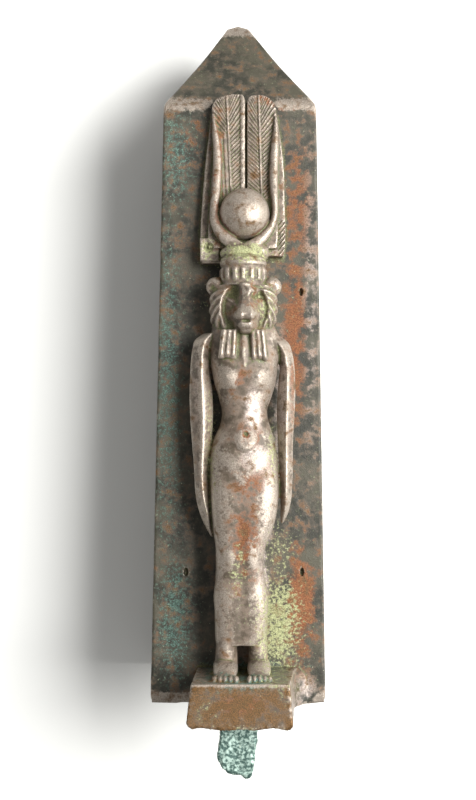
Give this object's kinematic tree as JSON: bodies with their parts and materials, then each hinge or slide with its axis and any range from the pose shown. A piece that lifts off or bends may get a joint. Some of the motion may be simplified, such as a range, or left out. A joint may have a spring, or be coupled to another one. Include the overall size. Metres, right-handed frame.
{
  "type": "bronze goddess statuette",
  "caption": "Cast bronze lion-headed goddess with horned sun-disk and plume crown, on a small plinth before a pointed obelisk, with a broken tang; it lies on its back.",
  "frame": {"origin": "on the obelisk's flat back, under the middle of the whole length", "axes": "+Y from the tang towards the obelisk's point, +Z out of the back towards the goddess's front, +X to the right of someone facing her"},
  "size_m": [0.0526, 0.2274, 0.074],
  "materials": {
    "patinated_bronze": "cast bronze with a dark brown patina, worn to a pinkish sheen on raised places, with green and pale corrosion in the hollows and on the tang"
  },
  "bodies": {
    "root": {"goddess_statuette": "patinated_bronze"}
  },
  "joints": []
}
